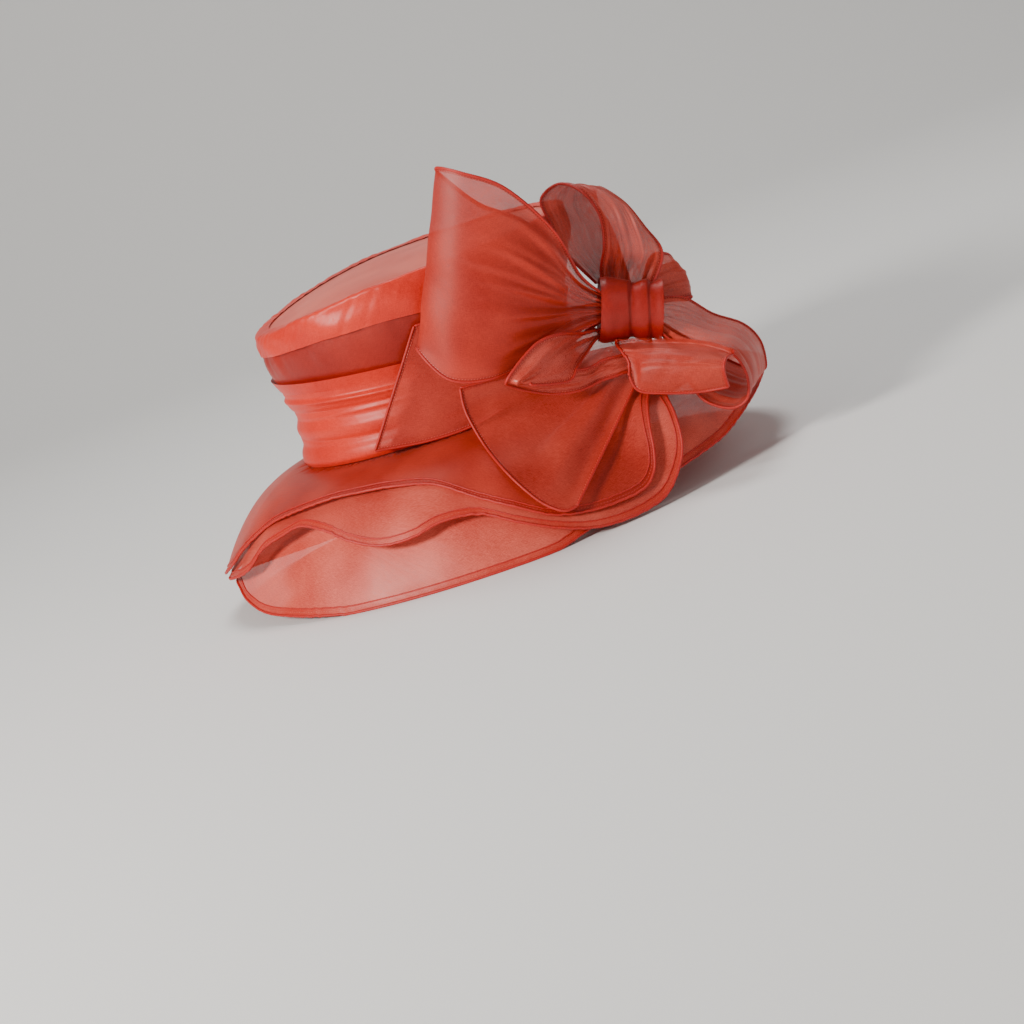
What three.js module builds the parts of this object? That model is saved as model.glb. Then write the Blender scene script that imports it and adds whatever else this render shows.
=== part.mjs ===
// Dress hat of sheer organza: a hollow crown with a draped band, a drooping brim of three layers
// and a large bow with loops and tails at the front of the wearer's right side.
// Millimetres, +Z up, front towards -Y, the wearer's right towards -X.
// The origin is the centre of the brim's outline, on the plane that the brim rests on.
import * as THREE from 'three';

// Overall sizes of the brim, outside its hem
const brimLength = 412;
const brimWidth = 338;

// Crown: the oval at its foot fits a head of about 57 cm, and the wall flares towards the tip
const headLength = 200;
const headWidth = 163;
const crownBack = 22;
const crownFoot = 80;
const crownRise = 114;
const tipLength = 229;
const tipWidth = 194;
const crownLean = 12;
const tipBackDip = 15;
const tipDome = 4;
const flareStart = 0.35;
const flareEnd = 0.85;

// Binding over the tip's seam: how far it reaches down the wall at the back and towards the front
const bindingBack = 12;
const bindingFront = 24;
const bindingInward = 6;
const bindingOverhang = 1.8;

// How late each layer of the brim bends down: 1 is a straight slope
const baseDroop = 1.8;
const middleDroop = 2;
const topDroop = 2.3;

// Draped band round the crown, lower at the sides and front than at the back
const bandHeight = 64;
const bandSideDrop = 9;
const pleatDepth = 2.6;

// Bow: its whole width, the tilt of its long axis, and how far the knot's centre stands outside the
// crown's foot, ahead of it and above it
const bowSpan = 236;
const bowTilt = 20;
const knotStandOff = 8.5;
const knotAhead = 43;
const knotRise = 42;
const knotLength = 42;
const knotTall = 43;
const knotDeep = 33;

// Cloth thicknesses and the clearance between pieces
const crownWall = 1.6;
const tipWall = 1.6;
const bindingWall = 2;
const bandWall = 1.4;
const brimWall = 1.6;
const brimHem = 2.8;
const ruffleWall = 1.2;
const ruffleHem = 1.4;
const knotWall = 2;
const loopWall = 1.2;
const clearance = 0.35;
const footGap = 0.9;

// Steps round the crown, round the knot and across a ribbon
const crownSteps = 42;
const knotSteps = 18;
const ribbonSteps = 6;

// Colours of the cloth
const coral = 0xd9533c;
const coralLight = 0xe5745c;

// Tables: each row becomes an object with the named columns
function table(columns, rows) {
  return rows.map((row) => (
    Object.fromEntries(columns.map((column, index) => [column, row[index]]))
  ));
}

// Brim edges by turn in degrees: 0 is the back, 90 the wearer's right, 180 the front, 270 the left.
// Reach is a share of the brim's outline and rise a share of the height of the crown's foot.
const edgeColumns = ['turn', 'reach', 'rise'];
const baseEdge = table(edgeColumns, [
  [0, 0.975, 0.29],
  [12, 0.985, 0.31],
  [19, 1, 0.22],
  [26, 1, 0.12],
  [37, 1, 0.07],
  [48, 1, 0.03],
  [56, 1, 0],
  [66, 1, 0],
  [84, 1, 0],
  [94, 1, 0],
  [102, 0.97, 0.06],
  [110, 0.95, 0.12],
  [118, 0.95, 0.17],
  [125, 0.97, 0.22],
  [131, 0.995, 0.262],
  [138, 1, 0.30],
  [145, 1, 0.371],
  [153, 1, 0.445],
  [165, 1, 0.53],
  [180, 1, 0.56],
  [195, 1, 0.52],
  [210, 1, 0.42],
  [222, 1, 0.29],
  [235, 1, 0.13],
  [246, 1, 0.02],
  [256, 1, 0],
  [280, 1, 0],
  [302, 1, 0],
  [316, 1, 0.05],
  [332, 1, 0.15],
  [346, 0.98, 0.24],
]);
const middleEdge = table(edgeColumns, [
  [0, 0.99, 0.335],
  [15, 1, 0.41],
  [25, 0.985, 0.50],
  [30, 0.95, 0.65],
  [36, 0.915, 0.73],
  [42, 0.9, 0.78],
  [50, 0.92, 0.71],
  [56, 0.94, 0.59],
  [63, 0.95, 0.49],
  [70, 0.95, 0.485],
  [76, 0.93, 0.53],
  [84, 0.93, 0.49],
  [91, 0.98, 0.33],
  [97, 1, 0.19],
  [103, 1.005, 0.085],
  [108, 1.005, 0.045],
  [113, 1.005, 0.04],
  [118, 1.005, 0.07],
  [121, 1.005, 0.14],
  [124, 1.002, 0.26],
  [126, 0.998, 0.37],
  [127.5, 0.985, 0.50],
  [129.5, 0.95, 0.66],
  [132, 0.9, 0.77],
  [137, 0.85, 0.83],
  [145, 0.81, 0.85],
  [160, 0.78, 0.86],
  [190, 0.8, 0.86],
  [215, 0.9, 0.64],
  [240, 0.98, 0.27],
  [262, 0.97, 0.32],
  [288, 0.92, 0.54],
  [312, 0.95, 0.42],
  [338, 0.99, 0.30],
]);
const topEdge = table(edgeColumns, [
  [0, 1, 0.38],
  [14, 0.99, 0.50],
  [21, 0.95, 0.66],
  [28, 0.89, 0.80],
  [36, 0.87, 0.87],
  [50, 0.85, 0.93],
  [58, 0.82, 0.91],
  [66, 0.82, 0.885],
  [76, 0.83, 0.80],
  [85, 0.9, 0.60],
  [91, 0.955, 0.46],
  [97, 0.985, 0.30],
  [104, 0.985, 0.215],
  [111, 0.985, 0.19],
  [116, 0.985, 0.21],
  [119, 0.98, 0.30],
  [121, 0.965, 0.44],
  [123.5, 0.93, 0.65],
  [127, 0.89, 0.81],
  [133, 0.84, 0.90],
  [142, 0.78, 0.935],
  [160, 0.72, 0.95],
  [190, 0.74, 0.94],
  [215, 0.84, 0.78],
  [240, 0.93, 0.46],
  [265, 0.9, 0.58],
  [290, 0.84, 0.78],
  [315, 0.88, 0.68],
  [340, 0.97, 0.43],
]);

// Rows of every brim layer: share of the way from the crown's foot to the layer's edge
const layerRows = [0, 0.2, 0.4, 0.6, 0.82, 1];

// Folds of the band: share of its height, and how far out each crest and valley stands
const bandFolds = table(['height', 'stand', 'sway'], [
  [0, 0.2, 0],
  [0.05, 1, 0],
  [0.13, 0.85, 0.01],
  [0.2, 0.05, 0.03],
  [0.36, 0.75, 0.05],
  [0.46, 0, 0.07],
  [0.64, 0.7, 0.08],
  [0.76, 0, 0.05],
  [1, 0.4, 0],
]);

// Section of the binding down the wall: share of its reach, and millimetres outside the wall's middle
const bindingSection = table(['down', 'out'], [
  [1, 2.3],
  [0.55, 3.7],
  [0.08, 3.5],
]);

// Ribbons of the bow. A row is a station along the ribbon, and its two edges stand from the knot's
// centre along the bow, upwards and outwards. Puff lifts the middle of the row, all as shares of the
// bow's span. Gather is 1 where the ribbon is drawn into pleats at the knot and 0 where it lies open.
const ribbonColumns = [
  'topAlong', 'topUp', 'topOut', 'lowAlong', 'lowUp', 'lowOut', 'puff', 'gather',
];
const leftLoop = table(ribbonColumns, [
  [-0.073, 0.044, 0.038, -0.072, -0.019, 0.038, 0, 1],
  [-0.152, 0.108, 0.076, -0.164, -0.056, 0.076, 0, 0.8],
  [-0.234, 0.239, 0.131, -0.289, -0.124, 0.136, 0.02, 0.5],
  [-0.371, 0.358, 0.178, -0.410, -0.170, 0.186, 0.02, 0.2],
  [-0.490, 0.399, 0.178, -0.527, -0.170, 0.186, 0.01, 0.05],
  [-0.559, 0.409, 0.123, -0.611, -0.094, 0.123, 0, 0],
  [-0.525, 0.371, 0.049, -0.544, -0.124, 0.053, 0, 0.05],
  [-0.432, 0.303, 0.042, -0.429, -0.155, 0.038, 0, 0.2],
  [-0.290, 0.243, 0.025, -0.286, -0.112, 0.021, 0, 0.5],
  [-0.159, 0.087, 0.013, -0.158, -0.056, 0.013, 0, 0.8],
  [-0.070, 0.038, 0.008, -0.069, -0.022, 0.008, 0, 1],
]);
const upperLoop = table(ribbonColumns, [
  [-0.067, 0.040, -0.072, 0.060, 0.040, -0.072, 0, 0.6],
  [-0.077, 0.106, -0.072, 0.093, 0.112, -0.072, 0, 0.8],
  [-0.072, 0.178, -0.042, 0.094, 0.170, -0.059, -0.02, 0.5],
  [-0.086, 0.264, -0.034, 0.044, 0.233, -0.059, -0.03, 0.3],
  [-0.130, 0.324, -0.059, -0.017, 0.304, -0.093, -0.02, 0.2],
  [-0.194, 0.351, -0.110, -0.081, 0.337, -0.144, 0, 0.15],
  [-0.246, 0.303, -0.136, -0.077, 0.283, -0.178, 0, 0.2],
  [-0.220, 0.235, -0.127, -0.034, 0.210, -0.186, 0, 0.3],
  [-0.182, 0.158, -0.123, -0.004, 0.129, -0.186, 0, 0.4],
  [-0.082, 0.060, -0.127, 0.021, 0.049, -0.140, 0, 1],
]);
const farLoop = table(ribbonColumns, [
  [0.044, 0.067, -0.085, 0.074, 0.009, -0.085, 0, 0.6],
  [0.073, 0.141, -0.119, 0.141, 0.014, -0.114, 0, 0.5],
  [0.124, 0.143, -0.161, 0.196, 0.021, -0.153, -0.02, 0.2],
  [0.149, 0.114, -0.212, 0.189, 0.004, -0.203, 0, 0.3],
  [0.106, 0.094, -0.237, 0.139, 0.001, -0.229, 0, 0.5],
  [0.067, 0.051, -0.203, 0.077, 0.004, -0.203, 0, 1],
]);
const rightLoop = table(ribbonColumns, [
  [0.060, -0.036, 0.034, 0.065, 0.026, -0.017, 0, 1],
  [0.139, -0.097, 0.051, 0.156, 0.030, -0.051, 0, 0.7],
  [0.215, -0.106, 0.076, 0.250, -0.021, -0.093, 0, 0.4],
  [0.277, -0.111, 0.102, 0.343, -0.055, -0.127, 0, 0.2],
  [0.312, -0.153, 0.123, 0.399, -0.106, -0.136, 0, 0.1],
  [0.325, -0.197, 0.136, 0.418, -0.170, -0.136, 0, 0.1],
  [0.319, -0.241, 0.127, 0.407, -0.194, -0.136, 0, 0.1],
  [0.277, -0.267, 0.110, 0.352, -0.184, -0.127, 0, 0.2],
  [0.201, -0.243, 0.076, 0.247, -0.130, -0.102, 0, 0.3],
  [0.141, -0.156, 0.042, 0.172, -0.090, -0.068, 0, 0.6],
  [0.103, -0.073, 0.017, 0.115, -0.054, -0.034, 0, 1],
  [0.063, -0.054, 0.008, 0.068, -0.028, -0.034, 0, 1],
]);
const lowerLoop = table(ribbonColumns, [
  [-0.070, -0.052, 0.021, -0.069, -0.080, 0.017, 0, 0.5],
  [-0.096, -0.054, 0.025, -0.095, -0.079, 0.021, 0, 0.5],
  [-0.144, -0.056, 0.076, -0.126, -0.105, 0.072, 0, 0.6],
  [-0.213, -0.048, 0.157, -0.163, -0.142, 0.136, 0, 0.4],
  [-0.287, -0.073, 0.199, -0.188, -0.179, 0.169, 0, 0.2],
  [-0.363, -0.161, 0.229, -0.296, -0.182, 0.220, 0, 0],
  [-0.349, -0.191, 0.195, -0.271, -0.168, 0.186, 0, 0.1],
  [-0.244, -0.219, 0.144, -0.206, -0.157, 0.144, 0, 0.2],
  [-0.157, -0.215, 0.119, -0.129, -0.151, 0.110, 0, 0.2],
  [-0.094, -0.189, 0.106, -0.085, -0.131, 0.093, 0, 0.1],
]);
const sideTail = table(ribbonColumns, [
  [-0.067, 0.020, -0.021, -0.066, -0.026, -0.021, 0, 1],
  [-0.198, -0.002, -0.017, -0.198, -0.122, -0.013, 0, 0.7],
  [-0.344, -0.012, 0.019, -0.313, -0.243, 0.006, 0, 0.4],
  [-0.486, -0.018, 0.034, -0.432, -0.325, 0.000, 0, 0.2],
  [-0.571, -0.029, 0.038, -0.564, -0.374, -0.004, 0, 0.1],
  [-0.616, -0.040, 0.038, -0.726, -0.407, -0.013, 0, 0],
]);
const rolledTail = table(ribbonColumns, [
  [-0.042, -0.094, 0.030, -0.013, -0.174, 0.114, -0.02, 0.3],
  [0.009, -0.090, 0.038, 0.013, -0.213, 0.119, -0.05, 0.2],
  [0.059, -0.089, 0.051, 0.059, -0.220, 0.131, -0.07, 0.1],
  [0.135, -0.085, 0.081, 0.134, -0.218, 0.144, -0.08, 0.1],
  [0.210, -0.089, 0.114, 0.200, -0.210, 0.161, -0.08, 0],
  [0.275, -0.107, 0.153, 0.261, -0.195, 0.186, -0.07, 0],
]);
const frontTail = table(ribbonColumns, [
  [-0.067, -0.110, 0.004, -0.488, -0.212, 0.076, 0, 0],
  [-0.050, -0.107, 0.004, -0.472, -0.278, 0.093, 0.03, 0],
  [-0.028, -0.104, 0.008, -0.421, -0.366, 0.148, 0.01, 0],
  [-0.005, -0.103, 0.008, -0.363, -0.427, 0.250, 0.03, 0],
  [0.018, -0.102, 0.013, -0.291, -0.485, 0.305, 0, 0],
  [0.043, -0.105, 0.013, -0.218, -0.517, 0.331, 0.02, 0],
  [0.066, -0.107, 0.017, -0.176, -0.505, 0.322, 0, 0],
]);

// Positions round an oval: turn 0 is the back and 90 the wearer's right
function ovalPoint(turn, length, width, back, height) {
  const angle = THREE.MathUtils.degToRad(turn);
  return new THREE.Vector3(-0.5 * width * Math.sin(angle), back + 0.5 * length * Math.cos(angle), height);
}

// Smooth curve through four neighbouring values, at a share of the way between the middle two
function curveBetween(before, start, end, after, spanBefore, span, spanAfter, share) {
  const slopeStart = ((end - before) / (spanBefore + span)) * span;
  const slopeEnd = ((after - start) / (span + spanAfter)) * span;
  const square = share * share;
  const cube = square * share;
  return (2 * cube - 3 * square + 1) * start + (cube - 2 * square + share) * slopeStart
    + (3 * square - 2 * cube) * end + (cube - square) * slopeEnd;
}

// Value of a column at a turn, through the rows of a table that closes round the hat
function roundValue(rows, column, turn) {
  const count = rows.length;
  const row = (index) => rows[((index % count) + count) % count];
  const turnOf = (index) => row(index).turn + 360 * Math.floor(index / count);
  let index = 0;
  while (index < count - 1 && turnOf(index + 1) <= turn) {
    index += 1;
  }
  const span = turnOf(index + 1) - turnOf(index);
  return curveBetween(
    row(index - 1)[column], row(index)[column], row(index + 1)[column], row(index + 2)[column],
    turnOf(index) - turnOf(index - 1), span, turnOf(index + 2) - turnOf(index + 1),
    (turn - turnOf(index)) / span,
  );
}

// Value of a column at a place along an open table, counted in rows
function alongValue(rows, column, place) {
  const index = Math.min(Math.floor(place), rows.length - 2);
  const value = (at) => rows[THREE.MathUtils.clamp(at, 0, rows.length - 1)][column];
  return curveBetween(
    value(index - 1), value(index), value(index + 1), value(index + 2), 1, 1, 1, place - index,
  );
}

// Normal of a grid of points at one place; a round grid's columns wrap
function gridNormal(grid, row, column, round) {
  const rows = grid.length;
  const columns = grid[0].length;
  const wrap = (value) => (round
    ? (value + columns) % columns
    : THREE.MathUtils.clamp(value, 0, columns - 1));
  const down = grid[Math.min(row + 1, rows - 1)][column].clone().sub(grid[Math.max(row - 1, 0)][column]);
  const across = grid[row][wrap(column + 1)].clone().sub(grid[row][wrap(column - 1)]);
  return down.cross(across).normalize();
}

// Closed body of triangles from a list of corner indices
function closedMesh(name, colour, points, corners) {
  const geometry = new THREE.BufferGeometry();
  const numbers = points.flatMap((point) => [point.x, point.y, point.z]);
  geometry.setAttribute('position', new THREE.Float32BufferAttribute(numbers, 3));
  geometry.setIndex(corners);
  geometry.computeVertexNormals();
  const material = new THREE.MeshStandardMaterial({ color: colour, roughness: 0.45, metalness: 0 });
  material.name = `${name}_cloth`;
  const mesh = new THREE.Mesh(geometry, material);
  mesh.name = name;
  return mesh;
}

// Sheet of cloth with a wall: the grid is its middle surface, and wall(row) its thickness there.
// A level edge keeps the last row's two skins at one height, so that the hem's lower face is flat.
function clothSheet(name, colour, grid, wall, { round = false, levelEdge = false } = {}) {
  const rows = grid.length;
  const columns = grid[0].length;
  const points = [];
  for (const side of [1, -1]) {
    for (let row = 0; row < rows; row += 1) {
      for (let column = 0; column < columns; column += 1) {
        const normal = gridNormal(grid, row, column, round);
        if (levelEdge && row === rows - 1) {
          normal.setZ(0).normalize();
        }
        points.push(grid[row][column].clone().addScaledVector(normal, 0.5 * side * wall(row)));
      }
    }
  }
  const at = (side, row, column) => (side * rows + row) * columns + (column % columns);
  const corners = [];
  const quad = (a, b, c, d) => corners.push(a, b, c, a, c, d);
  const lastColumn = round ? columns : columns - 1;
  for (let row = 0; row < rows - 1; row += 1) {
    for (let column = 0; column < lastColumn; column += 1) {
      quad(at(0, row, column), at(0, row + 1, column), at(0, row + 1, column + 1), at(0, row, column + 1));
      quad(at(1, row, column), at(1, row, column + 1), at(1, row + 1, column + 1), at(1, row + 1, column));
    }
  }
  for (let column = 0; column < lastColumn; column += 1) {
    quad(at(0, 0, column), at(0, 0, column + 1), at(1, 0, column + 1), at(1, 0, column));
    quad(
      at(0, rows - 1, column), at(1, rows - 1, column),
      at(1, rows - 1, column + 1), at(0, rows - 1, column + 1),
    );
  }
  if (!round) {
    for (let row = 0; row < rows - 1; row += 1) {
      quad(at(0, row, 0), at(1, row, 0), at(1, row + 1, 0), at(0, row + 1, 0));
      quad(
        at(0, row, columns - 1), at(0, row + 1, columns - 1),
        at(1, row + 1, columns - 1), at(1, row, columns - 1),
      );
    }
  }
  return closedMesh(name, colour, points, corners);
}

// Evenly spaced turns round an oval
function turnsOf(steps) {
  return Array.from({ length: steps }, (_, step) => (360 * step) / steps);
}

// Turns of the brim's columns: closer together where its edges turn steeply up
const brimStretches = table(['from', 'to', 'step'], [
  [0, 14, 7],
  [14, 32, 4.5],
  [32, 112, 6.6667],
  [112, 136, 2.6667],
  [136, 360, 7],
]);
const brimTurns = brimStretches.flatMap(({ from, to, step }) => (
  Array.from({ length: Math.round((to - from) / step) }, (_, index) => from + index * step)
));

// How far the tip's seam dips at a turn: the back of the crown is lower
function seamDip(turn) {
  const towardsBack = Math.max(Math.cos(THREE.MathUtils.degToRad(turn)), 0);
  return tipBackDip * towardsBack * towardsBack;
}

// 0 at the back of the crown, growing to 1 at its sides and staying 1 at the front
function forwardShare(turn) {
  return Math.min(1 - Math.cos(THREE.MathUtils.degToRad(turn)), 1);
}

// Point of the crown's wall at a turn and a share of its height, moved out from the wall's middle
function crownPoint(turn, share, out) {
  const flare = THREE.MathUtils.smoothstep(share, flareStart, flareEnd);
  const length = THREE.MathUtils.lerp(headLength, tipLength, flare) + 2 * out;
  const width = THREE.MathUtils.lerp(headWidth, tipWidth, flare) + 2 * out;
  const height = crownFoot + (crownRise - seamDip(turn)) * share;
  return ovalPoint(turn, length, width, crownBack - crownLean * share, height);
}

// Crown: side wall, tip and the binding over their seam
const crownRows = [-0.02, 0.34, 0.44, 0.54, 0.7, 0.86, 1];
const crownTurns = turnsOf(crownSteps);
const crownSide = clothSheet(
  'crown_side', coral,
  crownRows.map((share) => crownTurns.map((turn) => crownPoint(turn, share, 0))).reverse(),
  () => crownWall, { round: true },
);

// The tip's skins run from the middle out to the seam and follow its dip
function tipPoint(turn, share, above) {
  const edge = crownPoint(turn, 1, 0.5 * crownWall);
  const middle = crownBack - crownLean;
  const height = crownFoot + crownRise - seamDip(turn) * share * share + tipDome * (1 - share * share);
  return new THREE.Vector3(edge.x * share, middle + (edge.y - middle) * share, height + above);
}

function crownTipMesh() {
  const shares = [0.45, 0.78, 1];
  const points = [];
  for (const above of [clearance + tipWall, clearance]) {
    points.push(tipPoint(0, 0, above));
    shares.forEach((share) => crownTurns.forEach((turn) => points.push(tipPoint(turn, share, above))));
  }
  const skin = 1 + shares.length * crownSteps;
  const at = (side, ring, step) => side * skin + 1 + ring * crownSteps + (step % crownSteps);
  const corners = [];
  const last = shares.length - 1;
  for (let step = 0; step < crownSteps; step += 1) {
    corners.push(0, at(0, 0, step), at(0, 0, step + 1));
    corners.push(skin, at(1, 0, step + 1), at(1, 0, step));
    for (let ring = 0; ring < last; ring += 1) {
      const [a, b] = [at(0, ring, step), at(0, ring + 1, step)];
      const [c, d] = [at(0, ring + 1, step + 1), at(0, ring, step + 1)];
      corners.push(a, b, c, a, c, d);
      const [e, f] = [at(1, ring, step), at(1, ring, step + 1)];
      const [g, h] = [at(1, ring + 1, step + 1), at(1, ring + 1, step)];
      corners.push(e, f, g, e, g, h);
    }
    const [a, b] = [at(0, last, step), at(1, last, step)];
    const [c, d] = [at(1, last, step + 1), at(0, last, step + 1)];
    corners.push(a, b, c, a, c, d);
  }
  return closedMesh('crown_tip', coralLight, points, corners);
}

// The binding climbs the wall, turns over the seam and ends on the tip
const bindingAbove = clearance + tipWall + clearance + 0.5 * bindingWall;
const bindingGrid = bindingSection.map(({ down, out }) => crownTurns.map((turn) => {
  const reach = THREE.MathUtils.lerp(bindingBack, bindingFront, forwardShare(turn));
  return crownPoint(turn, 1 - (down * reach) / (crownRise - seamDip(turn)), out);
}));
for (const inward of [-bindingOverhang, bindingInward]) {
  const share = 1 - inward / (0.5 * tipWidth);
  bindingGrid.push(crownTurns.map((turn) => tipPoint(turn, share, bindingAbove)));
}
const tipBinding = clothSheet(
  'tip_binding', coral, bindingGrid.reverse(), () => bindingWall, { round: true },
);

// Stack of the layers at the crown's foot, each a clearance above the one below
const baseStart = crownFoot - 1;
const middleStart = baseStart + 0.5 * brimWall + clearance + 0.5 * ruffleWall;
const topStart = middleStart + ruffleWall + clearance;
const bandStart = topStart + 0.5 * ruffleWall + clearance + 0.5 * bandWall;

// Band: pleats that run round the crown and sway up and down a little
const bandGap = 0.5 * crownWall + 2 * clearance + 0.5 * bandWall;
const bandGrid = bandFolds.map(({ height, stand, sway }) => crownTurns.map((turn) => {
  const swayed = height + sway * Math.cos(THREE.MathUtils.degToRad(turn - 40));
  const reach = bandHeight - bandSideDrop * forwardShare(turn);
  const share = (bandStart - crownFoot + reach * swayed) / (crownRise - seamDip(turn));
  return crownPoint(turn, share, bandGap + pleatDepth * stand);
}));
const hatBand = clothSheet('hat_band', coral, bandGrid.reverse(), () => bandWall, { round: true });

// One layer of the brim, from the crown's foot out to its edge; droop bends it down towards the edge
function brimLayer(name, colour, edge, start, wall, hem, droop) {
  const foot = 0.5 * crownWall + footGap;
  const grid = layerRows.map((share) => brimTurns.map((turn) => {
    const inner = ovalPoint(turn, headLength + 2 * foot, headWidth + 2 * foot, crownBack, start);
    const outer = ovalPoint(turn, brimLength - hem, brimWidth - hem, 0, 0);
    const rise = Math.max(roundValue(edge, 'rise', turn), 0);
    const drop = start - rise * crownFoot;
    outer.multiplyScalar(roundValue(edge, 'reach', turn));
    return inner.lerp(outer, share).setZ(start - drop * share ** droop);
  }));
  const wallOf = (row) => (row >= layerRows.length - 2 ? hem : wall);
  return clothSheet(name, colour, grid, wallOf, { round: true, levelEdge: true });
}
const brimBase = brimLayer('brim_base', coral, baseEdge, baseStart, brimWall, brimHem, baseDroop);
const ruffleMiddle = brimLayer(
  'ruffle_middle', coral, middleEdge, middleStart, ruffleWall, ruffleHem, middleDroop,
);
const ruffleTop = brimLayer(
  'ruffle_top', coralLight, topEdge, topStart, ruffleWall, ruffleHem, topDroop,
);

// Bow frame: along runs forward and down, up stands square to it, out is the wearer's right
const tilt = THREE.MathUtils.degToRad(bowTilt);
const alongAxis = new THREE.Vector3(0, -Math.cos(tilt), -Math.sin(tilt));
const upAxis = new THREE.Vector3(0, -Math.sin(tilt), Math.cos(tilt));
const outAxis = new THREE.Vector3(-1, 0, 0);
const knotCentre = new THREE.Vector3(
  -0.5 * headWidth - knotStandOff, crownBack - 0.5 * headLength - knotAhead, crownFoot + knotRise,
);
function bowPoint(along, up, out) {
  return knotCentre.clone().addScaledVector(alongAxis, along).addScaledVector(upAxis, up)
    .addScaledVector(outAxis, out);
}

// Ribbon of the bow: a smooth sheet between its two edges, pleated where it is gathered
const pleatShape = [0, 1, -1, 1, -1, 1, 0];
const pleatHeight = 1.4;
function ribbon(name, colour, stations, steps) {
  const grid = [];
  for (let step = 0; step <= steps; step += 1) {
    const place = ((stations.length - 1) * step) / steps;
    const at = (column) => alongValue(stations, column, place);
    const top = bowPoint(bowSpan * at('topAlong'), bowSpan * at('topUp'), bowSpan * at('topOut'));
    const low = bowPoint(bowSpan * at('lowAlong'), bowSpan * at('lowUp'), bowSpan * at('lowOut'));
    const row = [];
    for (let across = 0; across <= ribbonSteps; across += 1) {
      row.push(top.clone().lerp(low, across / ribbonSteps));
    }
    grid.push(row);
  }
  const lifts = grid.map((row, step) => {
    const place = ((stations.length - 1) * step) / steps;
    const puff = bowSpan * alongValue(stations, 'puff', place);
    const pleat = pleatHeight * alongValue(stations, 'gather', place);
    return row.map((_, across) => {
      const share = across / ribbonSteps;
      return 4 * puff * share * (1 - share) + pleat * pleatShape[across];
    });
  });
  const raised = grid.map((row, step) => row.map((point, across) => (
    point.clone().addScaledVector(gridNormal(grid, step, across, false), lifts[step][across])
  )));
  return clothSheet(name, colour, raised, () => loopWall);
}

// Knot: a wrapped sleeve, open at both ends, that the gathered loops run into
const knotRows = table(['along', 'swell'], [
  [-0.5, 1.06],
  [-0.4, 1.1],
  [-0.18, 1],
  [0.04, 0.94],
  [0.24, 1.02],
  [0.38, 0.98],
  [0.5, 1.04],
]);
const bowKnot = clothSheet(
  'bow_knot', coral,
  knotRows.map(({ along, swell }) => turnsOf(knotSteps).map((turn) => {
    const angle = THREE.MathUtils.degToRad(turn);
    const up = 0.5 * (knotTall - knotWall) * swell * Math.cos(angle);
    const out = 0.5 * (knotDeep - knotWall) * swell * Math.sin(angle);
    return bowPoint(knotLength * along, up, out);
  })),
  () => knotWall, { round: true },
);

const hat = new THREE.Group();
hat.name = 'dress_hat';
hat.add(
  crownSide,
  crownTipMesh(),
  tipBinding,
  hatBand,
  brimBase,
  ruffleMiddle,
  ruffleTop,
  bowKnot,
  ribbon('loop_left', coral, leftLoop, 18),
  ribbon('loop_upper', coral, upperLoop, 16),
  ribbon('loop_far', coralLight, farLoop, 10),
  ribbon('loop_right', coral, rightLoop, 20),
  ribbon('loop_lower', coralLight, lowerLoop, 13),
  ribbon('tail_side', coral, sideTail, 8),
  ribbon('tail_front', coralLight, frontTail, 12),
  ribbon('tail_rolled', coral, rolledTail, 8),
);

export default hat;
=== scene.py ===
import math

import bpy
import numpy as np
from mathutils import Matrix, Vector


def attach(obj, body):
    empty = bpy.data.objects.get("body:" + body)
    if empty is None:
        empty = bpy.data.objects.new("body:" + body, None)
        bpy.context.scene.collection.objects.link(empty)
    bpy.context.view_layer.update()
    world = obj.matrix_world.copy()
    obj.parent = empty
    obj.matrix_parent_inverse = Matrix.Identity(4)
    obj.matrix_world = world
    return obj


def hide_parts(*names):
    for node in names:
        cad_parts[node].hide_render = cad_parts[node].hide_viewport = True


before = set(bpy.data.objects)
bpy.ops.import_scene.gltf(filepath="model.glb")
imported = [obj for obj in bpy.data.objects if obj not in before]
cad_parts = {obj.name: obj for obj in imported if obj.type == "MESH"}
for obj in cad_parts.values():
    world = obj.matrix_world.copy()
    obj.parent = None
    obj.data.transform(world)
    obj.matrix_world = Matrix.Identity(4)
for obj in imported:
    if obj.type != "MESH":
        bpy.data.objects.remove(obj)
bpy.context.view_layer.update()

MM = 0.001

# Sizes of the model
BRIM_LENGTH = 412
BRIM_WIDTH = 338
HEAD_LENGTH = 200
HEAD_WIDTH = 163
CROWN_BACK = 22
CROWN_FOOT = 80
CROWN_RISE = 114
TIP_LENGTH = 229
TIP_WIDTH = 194
CROWN_LEAN = 12
TIP_BACK_DIP = 15
TIP_DOME = 4
FLARE_START = 0.35
FLARE_END = 0.85
BINDING_BACK = 12
BINDING_FRONT = 24
BAND_HEIGHT = 64
BAND_SIDE_DROP = 9
BOW_SPAN = 236
BOW_TILT = 20
KNOT_CENTRE = np.array([-90.0, -121.0, 122.0])
KNOT_LENGTH = 42
KNOT_TALL = 43
KNOT_DEEP = 33
CORD_RADIUS = 0.95
INNER_CORD_RADIUS = 0.5
INNER_CORD_INWARD = 5.0
HEM_STITCH_INWARD = 2.6
BRIM_FLOOR_GAP = 0.9
CLOTH_SWELL = 34.0
TIP_EDGE_REACH = 97
TIP_CUT = (0.2, 0.235)

# Middles of the stacked layers at the crown's foot
BASE_START = 79
MIDDLE_START = 80.75
TOP_START = 82.3
BAND_START = 83.95

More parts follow.
